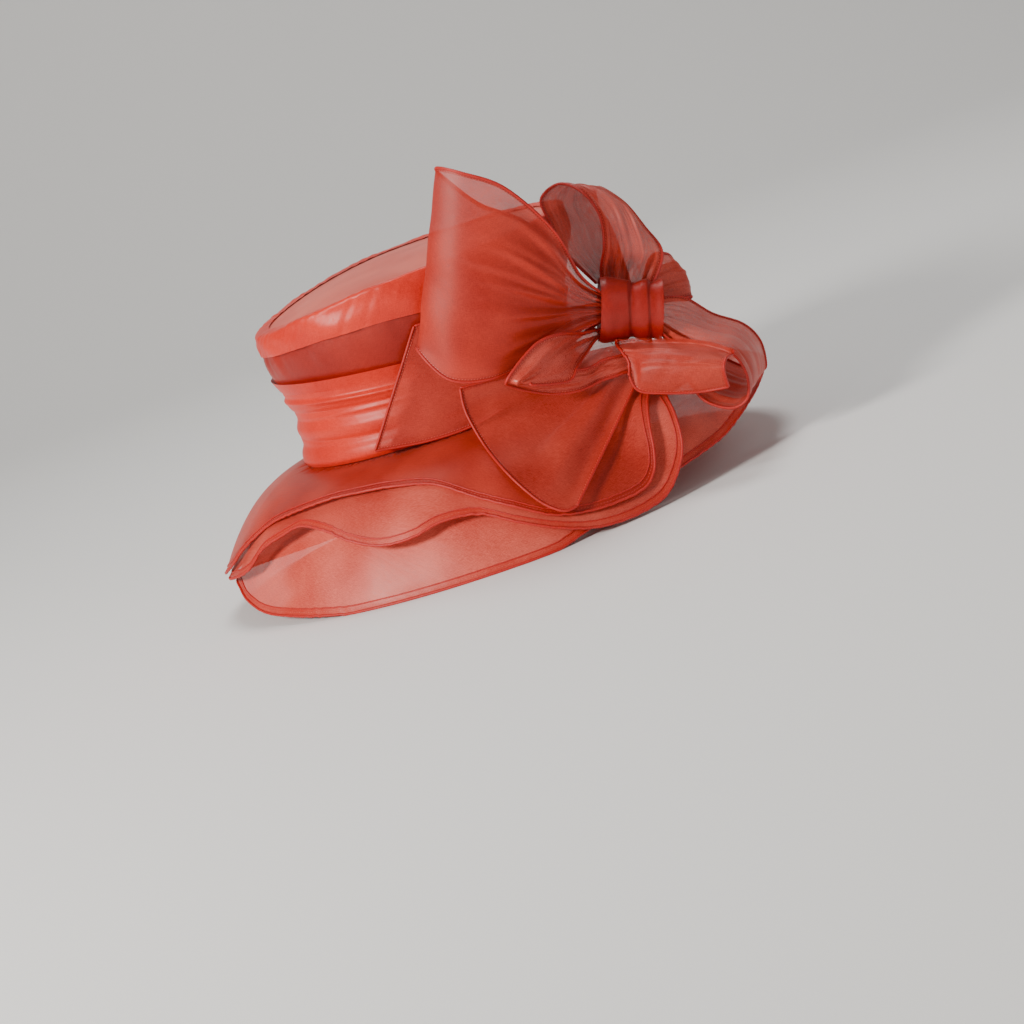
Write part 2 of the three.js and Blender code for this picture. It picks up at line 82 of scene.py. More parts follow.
# Brim edges by turn: 0 is the back, 90 the wearer's right, 180 the front. Reach is a share of the
# brim's outline and rise a share of the height of the crown's foot.
BASE_EDGE = np.array([
    [0, 0.975, 0.29], [12, 0.985, 0.31], [19, 1, 0.22], [26, 1, 0.12], [37, 1, 0.07],
    [48, 1, 0.03], [56, 1, 0], [66, 1, 0], [84, 1, 0], [94, 1, 0], [102, 0.97, 0.06],
    [110, 0.95, 0.12], [118, 0.95, 0.17], [125, 0.97, 0.22], [131, 0.995, 0.262],
    [138, 1, 0.30], [145, 1, 0.371], [153, 1, 0.445], [165, 1, 0.53], [180, 1, 0.56],
    [195, 1, 0.52], [210, 1, 0.42], [222, 1, 0.29], [235, 1, 0.13], [246, 1, 0.02],
    [256, 1, 0], [280, 1, 0], [302, 1, 0], [316, 1, 0.05], [332, 1, 0.15], [346, 0.98, 0.24],
])
MIDDLE_EDGE = np.array([
    [0, 0.99, 0.335], [15, 1, 0.41], [25, 0.985, 0.50], [30, 0.95, 0.65], [36, 0.915, 0.73],
    [42, 0.9, 0.78], [50, 0.92, 0.71], [56, 0.94, 0.59], [63, 0.95, 0.49], [70, 0.95, 0.485],
    [76, 0.93, 0.53], [84, 0.93, 0.49], [91, 0.98, 0.33], [97, 1, 0.19], [103, 1.005, 0.085],
    [108, 1.005, 0.045], [113, 1.005, 0.04], [118, 1.005, 0.07], [121, 1.005, 0.14],
    [124, 1.002, 0.26], [126, 0.998, 0.37], [127.5, 0.985, 0.50], [129.5, 0.95, 0.66],
    [132, 0.9, 0.77], [137, 0.85, 0.83], [145, 0.81, 0.85], [160, 0.78, 0.86],
    [190, 0.8, 0.86], [215, 0.9, 0.64], [240, 0.98, 0.27], [262, 0.97, 0.32],
    [288, 0.92, 0.54], [312, 0.95, 0.42], [338, 0.99, 0.30],
])
TOP_EDGE = np.array([
    [0, 1, 0.38], [14, 0.99, 0.50], [21, 0.95, 0.66], [28, 0.89, 0.80], [36, 0.87, 0.87],
    [50, 0.85, 0.93], [58, 0.82, 0.91], [66, 0.82, 0.885], [76, 0.83, 0.80], [85, 0.9, 0.60],
    [91, 0.955, 0.46], [97, 0.985, 0.30], [104, 0.985, 0.215], [111, 0.985, 0.19],
    [116, 0.985, 0.21], [119, 0.98, 0.30], [121, 0.965, 0.44], [123.5, 0.93, 0.65],
    [127, 0.89, 0.81], [133, 0.84, 0.90], [142, 0.78, 0.935], [160, 0.72, 0.95],
    [190, 0.74, 0.94], [215, 0.84, 0.78], [240, 0.93, 0.46], [265, 0.9, 0.58],
    [290, 0.84, 0.78], [315, 0.88, 0.68], [340, 0.97, 0.43],
])

# Ribbons of the bow. A row is a station along the ribbon: its two edges along the bow, up and out
# from the knot's centre, then how far its middle is puffed, as shares of the bow's span, and how
# much it is gathered.
LEFT_LOOP = np.array([
    [-0.073, 0.044, 0.038, -0.072, -0.019, 0.038, 0, 1],
    [-0.152, 0.108, 0.076, -0.164, -0.056, 0.076, 0, 0.8],
    [-0.234, 0.239, 0.131, -0.289, -0.124, 0.136, 0.02, 0.5],
    [-0.371, 0.358, 0.178, -0.410, -0.170, 0.186, 0.02, 0.2],
    [-0.490, 0.399, 0.178, -0.527, -0.170, 0.186, 0.01, 0.05],
    [-0.559, 0.409, 0.123, -0.611, -0.094, 0.123, 0, 0],
    [-0.525, 0.371, 0.049, -0.544, -0.124, 0.053, 0, 0.05],
    [-0.432, 0.303, 0.042, -0.429, -0.155, 0.038, 0, 0.2],
    [-0.290, 0.243, 0.025, -0.286, -0.112, 0.021, 0, 0.5],
    [-0.159, 0.087, 0.013, -0.158, -0.056, 0.013, 0, 0.8],
    [-0.070, 0.038, 0.008, -0.069, -0.022, 0.008, 0, 1],
])
UPPER_LOOP = np.array([
    [-0.067, 0.040, -0.072, 0.060, 0.040, -0.072, 0, 0.6],
    [-0.077, 0.106, -0.072, 0.093, 0.112, -0.072, 0, 0.8],
    [-0.072, 0.178, -0.042, 0.094, 0.170, -0.059, -0.02, 0.5],
    [-0.086, 0.264, -0.034, 0.044, 0.233, -0.059, -0.03, 0.3],
    [-0.130, 0.324, -0.059, -0.017, 0.304, -0.093, -0.02, 0.2],
    [-0.194, 0.351, -0.110, -0.081, 0.337, -0.144, 0, 0.15],
    [-0.246, 0.303, -0.136, -0.077, 0.283, -0.178, 0, 0.2],
    [-0.220, 0.235, -0.127, -0.034, 0.210, -0.186, 0, 0.3],
    [-0.182, 0.158, -0.123, -0.004, 0.129, -0.186, 0, 0.4],
    [-0.082, 0.060, -0.127, 0.021, 0.049, -0.140, 0, 1],
])
FAR_LOOP = np.array([
    [0.044, 0.067, -0.085, 0.074, 0.009, -0.085, 0, 0.6],
    [0.073, 0.141, -0.119, 0.141, 0.014, -0.114, 0, 0.5],
    [0.124, 0.143, -0.161, 0.196, 0.021, -0.153, -0.02, 0.2],
    [0.149, 0.114, -0.212, 0.189, 0.004, -0.203, 0, 0.3],
    [0.106, 0.094, -0.237, 0.139, 0.001, -0.229, 0, 0.5],
    [0.067, 0.051, -0.203, 0.077, 0.004, -0.203, 0, 1],
])
RIGHT_LOOP = np.array([
    [0.060, -0.036, 0.034, 0.065, 0.026, -0.017, 0, 1],
    [0.139, -0.097, 0.051, 0.156, 0.030, -0.051, 0, 0.7],
    [0.215, -0.106, 0.076, 0.250, -0.021, -0.093, 0, 0.4],
    [0.277, -0.111, 0.102, 0.343, -0.055, -0.127, 0, 0.2],
    [0.312, -0.153, 0.123, 0.399, -0.106, -0.136, 0, 0.1],
    [0.325, -0.197, 0.136, 0.418, -0.170, -0.136, 0, 0.1],
    [0.319, -0.241, 0.127, 0.407, -0.194, -0.136, 0, 0.1],
    [0.277, -0.267, 0.110, 0.352, -0.184, -0.127, 0, 0.2],
    [0.201, -0.243, 0.076, 0.247, -0.130, -0.102, 0, 0.3],
    [0.141, -0.156, 0.042, 0.172, -0.090, -0.068, 0, 0.6],
    [0.103, -0.073, 0.017, 0.115, -0.054, -0.034, 0, 1],
    [0.063, -0.054, 0.008, 0.068, -0.028, -0.034, 0, 1],
])
LOWER_LOOP = np.array([
    [-0.070, -0.052, 0.021, -0.069, -0.080, 0.017, 0, 0.5],
    [-0.096, -0.054, 0.025, -0.095, -0.079, 0.021, 0, 0.5],
    [-0.144, -0.056, 0.076, -0.126, -0.105, 0.072, 0, 0.6],
    [-0.213, -0.048, 0.157, -0.163, -0.142, 0.136, 0, 0.4],
    [-0.287, -0.073, 0.199, -0.188, -0.179, 0.169, 0, 0.2],
    [-0.363, -0.161, 0.229, -0.296, -0.182, 0.220, 0, 0],
    [-0.349, -0.191, 0.195, -0.271, -0.168, 0.186, 0, 0.1],
    [-0.244, -0.219, 0.144, -0.206, -0.157, 0.144, 0, 0.2],
    [-0.157, -0.215, 0.119, -0.129, -0.151, 0.110, 0, 0.2],
    [-0.094, -0.189, 0.106, -0.085, -0.131, 0.093, 0, 0.1],
])
SIDE_TAIL = np.array([
    [-0.067, 0.020, -0.021, -0.066, -0.026, -0.021, 0, 1],
    [-0.198, -0.002, -0.017, -0.198, -0.122, -0.013, 0, 0.7],
    [-0.344, -0.012, 0.019, -0.313, -0.243, 0.006, 0, 0.4],
    [-0.486, -0.018, 0.034, -0.432, -0.325, 0.000, 0, 0.2],
    [-0.571, -0.029, 0.038, -0.564, -0.374, -0.004, 0, 0.1],
    [-0.616, -0.040, 0.038, -0.726, -0.407, -0.013, 0, 0],
])
ROLLED_TAIL = np.array([
    [-0.042, -0.094, 0.030, -0.013, -0.174, 0.114, -0.02, 0.3],
    [0.009, -0.090, 0.038, 0.013, -0.213, 0.119, -0.05, 0.2],
    [0.059, -0.089, 0.051, 0.059, -0.220, 0.131, -0.07, 0.1],
    [0.135, -0.085, 0.081, 0.134, -0.218, 0.144, -0.08, 0.1],
    [0.210, -0.089, 0.114, 0.200, -0.210, 0.161, -0.08, 0],
    [0.275, -0.107, 0.153, 0.261, -0.195, 0.186, -0.07, 0],
])
FRONT_TAIL = np.array([
    [-0.067, -0.110, 0.004, -0.488, -0.212, 0.076, 0, 0],
    [-0.050, -0.107, 0.004, -0.472, -0.278, 0.093, 0.03, 0],
    [-0.028, -0.104, 0.008, -0.421, -0.366, 0.148, 0.01, 0],
    [-0.005, -0.103, 0.008, -0.363, -0.427, 0.250, 0.03, 0],
    [0.018, -0.102, 0.013, -0.291, -0.485, 0.305, 0, 0],
    [0.043, -0.105, 0.013, -0.218, -0.517, 0.331, 0.02, 0],
    [0.066, -0.107, 0.017, -0.176, -0.505, 0.322, 0, 0],
])

# Folds of the band: share of its height, how far out the cloth stands and how much the fold sways
BAND_FOLDS = np.array([
    [0, 0.2, 0], [0.05, 1, 0], [0.13, 0.85, 0.01], [0.2, 0.05, 0.03], [0.36, 0.75, 0.05],
    [0.46, 0, 0.07], [0.64, 0.7, 0.08], [0.76, 0, 0.05], [1, 0.4, 0],
])


def smooth(low, high, value):
    """0 below low, 1 above high, and a smooth step between."""
    share = np.clip((value - low) / (high - low), 0, 1)
    return share * share * (3 - 2 * share)


def cubic(before, start, end, after, span_before, span, span_after, share):
    """Smooth curve through four neighbouring values, at a share of the middle stretch."""
    slope_start = (end - before) / (span_before + span) * span
    slope_end = (after - start) / (span + span_after) * span
    square, cube = share**2, share**3
    return (
        (2 * cube - 3 * square + 1) * start + (cube - 2 * square + share) * slope_start
        + (3 * square - 2 * cube) * end + (cube - square) * slope_end
    )


def round_value(table, column, turns):
    """A column of a table that closes round the hat, at an array of turns."""
    keys = np.concatenate([table[-2:, 0] - 360, table[:, 0], table[:3, 0] + 360])
    values = np.concatenate([table[-2:, column], table[:, column], table[:3, column]])
    at = np.searchsorted(keys, turns, side="right") - 1
    span = keys[at + 1] - keys[at]
    return cubic(
        values[at - 1], values[at], values[at + 1], values[at + 2],
        keys[at] - keys[at - 1], span, keys[at + 2] - keys[at + 1], (turns - keys[at]) / span,
    )


def along_value(values, places):
    """Values at rows 0, 1, 2 ... of an open table, at an array of places."""
    last = len(values) - 1
    at = np.minimum(places.astype(int), last - 1)
    row = lambda i: values[np.clip(i, 0, last)]
    return cubic(row(at - 1), row(at), row(at + 1), row(at + 2), 1, 1, 1, places - at)


def keyed_value(keys, values, places):
    """Smooth values through rows at uneven keys."""
    keys = np.asarray(keys, float)
    values = np.asarray(values, float)
    at = np.clip(np.searchsorted(keys, places, side="right") - 1, 0, len(keys) - 2)
    before, after = np.maximum(at - 1, 0), np.minimum(at + 2, len(keys) - 1)
    span = keys[at + 1] - keys[at]
    return cubic(
        values[before], values[at], values[at + 1], values[after],
        np.maximum(keys[at] - keys[before], 1e-6), span,
        np.maximum(keys[after] - keys[at + 1], 1e-6), (places - keys[at]) / span,
    )


def ripple(seed, u, v, pitch_u, pitch_v, terms=7):
    """Smooth irregular ripple between about -1 and 1 over two coordinates."""
    rng = np.random.default_rng(seed)
    total = np.zeros(np.broadcast(u, v).shape)
    for _ in range(terms):
        a = rng.uniform(0.6, 1.6) / pitch_u
        b = rng.uniform(-1.2, 1.2) / pitch_v
        total = total + np.sin(2 * np.pi * (a * u + b * v) + rng.uniform(0, 2 * np.pi))
    return total / math.sqrt(terms)


def round_ripple(seed, turns, low, high, terms=7):
    """Smooth ripple round the hat that closes on itself, with low to high waves in a turn."""
    rng = np.random.default_rng(seed)
    total = np.zeros(np.shape(turns))
    for _ in range(terms):
        waves = rng.integers(low, high + 1)
        total = total + np.sin(np.radians(waves * turns) + rng.uniform(0, 2 * np.pi))
    return total / math.sqrt(terms)


def normals_of(grid, closed):
    """Unit normals of a grid of points."""
    down = np.gradient(grid, axis=0)
    if closed:
        across = np.roll(grid, -1, axis=1) - np.roll(grid, 1, axis=1)
    else:
        across = np.gradient(grid, axis=1)
    normal = np.cross(down, across)
    return normal / np.maximum(np.linalg.norm(normal, axis=2, keepdims=True), 1e-9)


def displaced(grid, amount, closed=False):
    """The grid moved along its normals."""
    return grid + normals_of(grid, closed) * amount[..., None]


def arc(grid, axis):
    """Running length along one axis of a grid."""
    step = np.linalg.norm(np.diff(grid, axis=axis), axis=2)
    shape = list(grid.shape[:2])
    shape[axis] = 1
    return np.concatenate([np.zeros(shape), np.cumsum(step, axis=axis)], axis=axis)


def mesh_piece(name, points, faces):
    """An object from points in millimetres and faces that all have the same number of corners."""
    faces = np.asarray(faces, np.int32)
    mesh = bpy.data.meshes.new(name)
    mesh.vertices.add(len(points))
    mesh.vertices.foreach_set("co", (np.asarray(points) * MM).astype(np.float32).ravel())
    mesh.loops.add(faces.size)
    mesh.loops.foreach_set("vertex_index", faces.ravel())
    mesh.polygons.add(len(faces))
    mesh.polygons.foreach_set("loop_start", np.arange(len(faces), dtype=np.int32) * faces.shape[1])
    mesh.update(calc_edges=True)
    mesh.shade_smooth()
    piece = bpy.data.objects.new(name, mesh)
    bpy.context.scene.collection.objects.link(piece)
    return piece


def cloth(name, grid, closed=False, hem_sides=("last",)):
    """A sheet of cloth as a mesh of one skin. The map named Cloth holds metres across and along the
    threads, and the one named Rim the distance in metres to the nearest hemmed edge."""
    rows, columns = grid.shape[:2]
    full = np.concatenate([grid, grid[:, :1]], axis=1) if closed else grid
    across = arc(full, 1)
    across = across - across[:, full.shape[1] // 2][:, None]
    along = arc(full, 0)
    rim = np.full(full.shape[:2], 1e3)
    if "last" in hem_sides:
        rim = np.minimum(rim, along[-1:] - along)
    if "first" in hem_sides:
        rim = np.minimum(rim, along)
    if "left" in hem_sides:
        rim = np.minimum(rim, arc(full, 1))
    if "right" in hem_sides:
        side = arc(full, 1)
        rim = np.minimum(rim, side[:, -1:] - side)
    row, column = np.mgrid[0:rows - 1, 0:full.shape[1] - 1]
    quad_rows = np.stack([row, row + 1, row + 1, row], axis=-1).reshape(-1, 4)
    quad_columns = np.stack([column, column, column + 1, column + 1], axis=-1).reshape(-1, 4)
    piece = mesh_piece(name, grid.reshape(-1, 3), quad_rows * columns + quad_columns % columns)
    spots = (quad_rows * full.shape[1] + quad_columns).ravel()
    for label, first, second in (("Cloth", across, along), ("Rim", rim, along)):
        layer = piece.data.uv_layers.new(name=label)
        pairs = np.stack([first.ravel()[spots], second.ravel()[spots]], axis=1) * MM
        layer.data.foreach_set("uv", pairs.astype(np.float32).ravel())
    return piece


def tube(name, line, radius, closed=False, sides=8, twist_pitch=1.7):
    """A cord along a line of points, with a rope's lay of the given twist pitch."""
    line = np.asarray(line, float)
    if closed:
        forward = np.roll(line, -1, axis=0) - np.roll(line, 1, axis=0)
    else:
        forward = np.gradient(line, axis=0)
    forward = forward / np.linalg.norm(forward, axis=1, keepdims=True)
    side = np.zeros_like(forward)
    start = np.cross(forward[0], [0.13, 0.31, 0.94])
    side[0] = start / np.linalg.norm(start)
    for i in range(1, len(line)):
        turned = side[i - 1] - forward[i] * (side[i - 1] @ forward[i])
        side[i] = turned / np.linalg.norm(turned)
    other = np.cross(forward, side)
    length = np.concatenate([[0], np.cumsum(np.linalg.norm(np.diff(line, axis=0), axis=1))])
    rings = []
    for k in range(sides):
        angle = 2 * np.pi * k / sides
        swell = 1 + 0.13 * np.sin(2 * np.pi * length / twist_pitch + 2 * angle)
        rings.append(
            line + radius * swell[:, None] * (math.cos(angle) * side + math.sin(angle) * other)
        )
    points = np.stack(rings, axis=1)
    count = len(line)
    if not closed:
        points[0] = line[0] + 0.25 * (points[0] - line[0])
        points[-1] = line[-1] + 0.25 * (points[-1] - line[-1])
    i, k = np.mgrid[0:count if closed else count - 1, 0:sides]
    j, m = (i + 1) % count, (k + 1) % sides
    faces = np.stack([i * sides + k, j * sides + k, j * sides + m, i * sides + m], axis=-1)
    return mesh_piece(name, points.reshape(-1, 3), faces.reshape(-1, 4))


def resampled(line, pitch, closed=False):
    """Points evenly spaced along a line."""
    line = np.asarray(line, float)
    if closed:
        line = np.concatenate([line, line[:1]])
    length = np.concatenate([[0], np.cumsum(np.linalg.norm(np.diff(line, axis=0), axis=1))])
    count = max(int(length[-1] / pitch), 2)
    places = np.linspace(0, length[-1], count, endpoint=not closed)
    return np.stack([np.interp(places, length, line[:, k]) for k in range(3)], axis=1)


def stitches(name, line, normal, pitch, length, radius, closed=False, slant=0.0):
    """A row of short raised stitches along a line, lying on the cloth."""
    points = resampled(line, pitch, closed)
    up = resampled(np.asarray(line) + np.asarray(normal), pitch, closed)
    count = min(len(points), len(up))
    points, up = points[:count], up[:count]
    up = up - points
    up = up / np.maximum(np.linalg.norm(up, axis=1, keepdims=True), 1e-9)
    forward = np.gradient(points, axis=0)
    forward = forward / np.maximum(np.linalg.norm(forward, axis=1, keepdims=True), 1e-9)
    side = np.cross(up, forward)
    run = forward * math.cos(slant) + side * math.sin(slant)
    wide = np.cross(up, run)
    shape = np.array([[-0.5, 0, 0], [0, 0.5, 0.35], [0.5, 0, 0], [0, -0.5, 0.35], [0, 0, 1]])
    corners = (
        points[:, None] + run[:, None] * (shape[:, :1] * length)
        + wide[:, None] * (shape[:, 1:2] * 2 * radius)
        + up[:, None] * (shape[:, 2:] * radius + 0.15)
    )
    sides = np.array([[0, 1, 4], [1, 2, 4], [2, 3, 4], [3, 0, 4]])
    faces = np.arange(count)[:, None, None] * 5 + sides
    return mesh_piece(name, corners.reshape(-1, 3), faces.reshape(-1, 3))


# Materials
def shade(nodes, kind, **values):
    """A shader node with some of its settings."""
    node = nodes.new(kind)
    for key, value in values.items():
        setattr(node, key, value)
    return node


def organza(name, deep, light, cover, hem_width, roughness=0.4, streak=1.0):
    """Sheer satin organza: crossed threads, a soft sheen, cloudy colour, and a folded hem that is
    deeper in colour and lets less light through."""
    material = bpy.data.materials.new(name)
    material.use_nodes = True
    nodes, links = material.node_tree.nodes, material.node_tree.links
    shader = nodes["Principled BSDF"]
    shader.inputs["Sheen Weight"].default_value = 0.16
    shader.inputs["Sheen Roughness"].default_value = 0.3
    shader.inputs["Sheen Tint"].default_value = (1.0, 0.42, 0.32, 1)
    shader.inputs["Specular IOR Level"].default_value = 0.5
    shader.inputs["Specular Tint"].default_value = (1.0, 0.78, 0.72, 1)
    shader.inputs["IOR"].default_value = 1.5

    threads = shade(nodes, "ShaderNodeUVMap", uv_map="Cloth")
    rim = shade(nodes, "ShaderNodeUVMap", uv_map="Rim")
    split = shade(nodes, "ShaderNodeSeparateXYZ")
    links.new(rim.outputs["UV"], split.inputs[0])

    def noise(scale, detail, source, distortion=0.0):
        node = shade(nodes, "ShaderNodeTexNoise")
        node.inputs["Scale"].default_value = scale
        node.inputs["Detail"].default_value = detail
        node.inputs["Distortion"].default_value = distortion
        links.new(source, node.inputs["Vector"])
        return node.outputs["Fac"]

    def math_node(operation, a, b):
        node = shade(nodes, "ShaderNodeMath", operation=operation)
        for socket, value in zip(node.inputs, (a, b)):
            if isinstance(value, (int, float)):
                socket.default_value = value
            else:
                links.new(value, socket)
        return node.outputs[0]

    def spread(value, low, high, to_low, to_high):
        node = shade(nodes, "ShaderNodeMapRange", clamp=True)
        links.new(value, node.inputs["Value"])
        numbers = {"From Min": low, "From Max": high, "To Min": to_low, "To Max": to_high}
        for label, number in numbers.items():
            node.inputs[label].default_value = number
        return node.outputs["Result"]

    def stretched(x, y):
        node = shade(nodes, "ShaderNodeMapping")
        node.inputs["Scale"].default_value = (x, y, 1)
        links.new(threads.outputs["UV"], node.inputs["Vector"])
        return node.outputs["Vector"]

    place = shade(nodes, "ShaderNodeTexCoord").outputs["Object"]
    cloud = noise(22, 2, place)
    speck = noise(1400, 3, threads.outputs["UV"])
    warp = noise(1, 1, stretched(3400, 240))
    weft = noise(1, 1, stretched(240, 3400))
    weave = math_node("ADD", warp, weft)
    hem = spread(split.outputs["X"], hem_width * MM, (hem_width + 0.5) * MM, 1, 0)

    mix = shade(nodes, "ShaderNodeMix", data_type="RGBA")
    mix.inputs["A"].default_value = (*deep, 1)
    mix.inputs["B"].default_value = (*light, 1)
    grain = spread(speck, 0.35, 0.65, -0.17, 0.17)
    tone = math_node("ADD", spread(cloud, 0.35, 0.65, 0.28, 0.72), grain)
    tone = math_node("ADD", tone, spread(weave, 0.8, 1.2, -0.12, 0.12))
    tone = math_node("SUBTRACT", tone, math_node("MULTIPLY", hem, 0.4))
    tone = spread(tone, 0, 1, 0, 1)
    links.new(tone, mix.inputs["Factor"])
    links.new(mix.outputs["Result"], shader.inputs["Base Color"])

    rough = spread(math_node("ADD", speck, weave), 1.2, 1.8, roughness - 0.07, roughness + 0.1)
    links.new(rough, shader.inputs["Roughness"])

    open_share = spread(weave, 0.75, 1.25, cover - 0.07, cover + 0.07)
    alpha = math_node("MAXIMUM", open_share, math_node("MULTIPLY", hem, 0.96))
    links.new(alpha, shader.inputs["Alpha"])

    height = math_node("ADD", math_node("MULTIPLY", weave, 0.25), math_node("MULTIPLY", hem, 1.2))
    streaks = math_node("MULTIPLY", noise(1, 3, stretched(160, 34), 0.4), streak)
    height = math_node("ADD", height, streaks)
    bump = shade(nodes, "ShaderNodeBump")
    bump.inputs["Strength"].default_value = 0.2
    bump.inputs["Distance"].default_value = 0.0006
    links.new(height, bump.inputs["Height"])
    links.new(bump.outputs["Normal"], shader.inputs["Normal"])
    return material


def thread_material(name, colour, roughness):
    """Polyester thread: packed fibres along a cord or a stitch."""
    material = bpy.data.materials.new(name)
    material.use_nodes = True
    nodes, links = material.node_tree.nodes, material.node_tree.links
    shader = nodes["Principled BSDF"]
    shader.inputs["Roughness"].default_value = roughness
    shader.inputs["Sheen Weight"].default_value = 0.06
    shader.inputs["Sheen Tint"].default_value = (1.0, 0.4, 0.3, 1)
    place = shade(nodes, "ShaderNodeTexCoord").outputs["Object"]
    fibres = shade(nodes, "ShaderNodeTexNoise")
    fibres.inputs["Scale"].default_value = 1100
    fibres.inputs["Detail"].default_value = 2
    links.new(place, fibres.inputs["Vector"])
    ramp = shade(nodes, "ShaderNodeValToRGB")
    ramp.color_ramp.elements[0].position = 0.3
    ramp.color_ramp.elements[0].color = (*(0.62 * c for c in colour), 1)
    ramp.color_ramp.elements[1].position = 0.7
    ramp.color_ramp.elements[1].color = (*colour, 1)
    links.new(fibres.outputs["Fac"], ramp.inputs["Fac"])
    links.new(ramp.outputs["Color"], shader.inputs["Base Color"])
    bump = shade(nodes, "ShaderNodeBump")
    bump.inputs["Strength"].default_value = 0.5
    bump.inputs["Distance"].default_value = 0.0003
    links.new(fibres.outputs["Fac"], bump.inputs["Height"])
    links.new(bump.outputs["Normal"], shader.inputs["Normal"])
    return material


DEEP = (0.40, 0.012, 0.006)
CORAL = (0.74, 0.085, 0.050)
crown_cloth = organza("organza_crown", (0.24, 0.004, 0.002), (0.46, 0.020, 0.009), 0.95, 0)
# Painted highlight: the tip's cloth is given much lighter colours than the crown's, for the light that
# falls on its top.
tip_cloth_painted_highlight = organza("organza_tip", (0.60, 0.040, 0.020), (0.84, 0.150, 0.100), 0.97, 0)
# Painted highlight: the lower loop's cloth is lighter than the rest of the bow, for its face that
# catches the light.
lower_cloth_painted_highlight = organza("organza_lower_loop_painted_highlight", DEEP, (0.84, 0.130, 0.085), 0.86, 2.2, roughness=0.32)
band_cloth = organza("organza_band", (0.54, 0.010, 0.003), (0.80, 0.040, 0.016), 0.95, 0, streak=2.0)
# Painted highlight: the brim and the middle ruffle are the same organza as the top ruffle, given
# lighter colours for the light falling on them.
brim_cloth_painted_highlight = organza("organza_brim", (0.50, 0.022, 0.010), (0.86, 0.150, 0.100), 0.88, 5.0)
middle_cloth_painted_highlight = organza("organza_middle_ruffle_painted_highlight", (0.50, 0.022, 0.010), (0.86, 0.150, 0.100), 0.78, 5.0)
# Painted shade: the top ruffle is given deeper colours than the brim and the middle ruffle, for the
# shade it lies in.
top_ruffle_painted_shade = organza("organza_ruffle", (0.32, 0.007, 0.003), (0.70, 0.060, 0.032), 0.78, 5.0)
bow_cloth = organza("organza_bow", DEEP, CORAL, 0.70, 2.2, roughness=0.47)
# Painted shade: the left loop's cloth is deeper than the rest of the bow, for the dimmer light on it.
left_cloth_painted_shade = organza("organza_left_loop_painted_shade", (0.34, 0.008, 0.004), (0.66, 0.045, 0.022), 0.78, 2.2,
                     roughness=0.5)
upper_cloth = organza("organza_upper_loops", (0.36, 0.010, 0.005), (0.76, 0.085, 0.048), 0.92, 2.2)
# Painted shade: the knot's cloth is deeper than the rest of the bow, for the dimmer light on it.
knot_cloth_painted_shade = organza("organza_knot_painted_shade", (0.22, 0.003, 0.002), (0.42, 0.014, 0.007), 0.97, 0, streak=1.2)
cord_thread = thread_material("corded_hem", (0.60, 0.014, 0.007), 0.5)
stitch_thread = thread_material("stitching", (0.80, 0.10, 0.06), 0.35)


def place(piece, node, slot, material, flat=None, held="stretched", rests=(), area=None, extras=()):
    """Gives a piece its material and body and hides its CAD part. The slot and a sheet's cut are not
    used.
    """
    piece.data.materials.append(material)
    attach(piece, "root")
    if node:
        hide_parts(node)
    return piece


def cut_of(grid, closed=False):
    """Width and length of the strip that a sheet was cut from, and its area, in square metres."""
    full = np.concatenate([grid, grid[:, :1]], axis=1) if closed else grid
    a, b = np.diff(full, axis=0)[:, :-1], np.diff(full, axis=1)[:-1]
    area = np.linalg.norm(np.cross(a, b), axis=2).sum() * MM * MM
    width, length = arc(full, 1)[:, -1].max() * MM, arc(full, 0)[-1].max() * MM
    return {"flat": (round(float(width), 3), round(float(length), 3)), "area": round(float(area), 5)}


# Crown
def oval(turns, length, width, back, height):
    """Points on an oval round the hat."""
    angle = np.radians(turns)
    return np.stack(np.broadcast_arrays(
        -0.5 * width * np.sin(angle), back + 0.5 * length * np.cos(angle), height,
    ), axis=-1)


def seam_dip(turns):
    """How far the tip's edge dips towards the back."""
    return TIP_BACK_DIP * np.maximum(np.cos(np.radians(turns)), 0) ** 2


def forward_share(turns):
    """0 at the back and 1 from the sides to the front."""
    return np.minimum(1 - np.cos(np.radians(turns)), 1)


def crown_points(turns, share, out):
    """Points on the crown's wall at a share of its height, some way out from it."""
    flare = smooth(FLARE_START, FLARE_END, share)
    length = HEAD_LENGTH + (TIP_LENGTH - HEAD_LENGTH) * flare + 2 * out
    width = HEAD_WIDTH + (TIP_WIDTH - HEAD_WIDTH) * flare + 2 * out
    height = CROWN_FOOT + (CROWN_RISE - seam_dip(turns)) * share
    return oval(turns, length, width, CROWN_BACK - CROWN_LEAN * share, height)


def tip_points(turns, share, above):
    """Points on the crown's tip at a share of its reach, some way above it."""
    edge = crown_points(turns, np.ones_like(share), 0.8)
    middle = CROWN_BACK - CROWN_LEAN
    height = CROWN_FOOT + CROWN_RISE - seam_dip(turns) * share**2 + TIP_DOME * (1 - share**2) + above
    return np.stack([edge[..., 0] * share, middle + (edge[..., 1] - middle) * share, height], axis=-1)


CROWN_TURNS = np.arange(0, 360, 1.0)[None, :]


def seam_fade(turns):
    """0 at the back seam of a round piece and 1 away from it, so that open ripples meet there."""
    return smooth(0, 14, turns) * smooth(0, 14, 360 - turns)


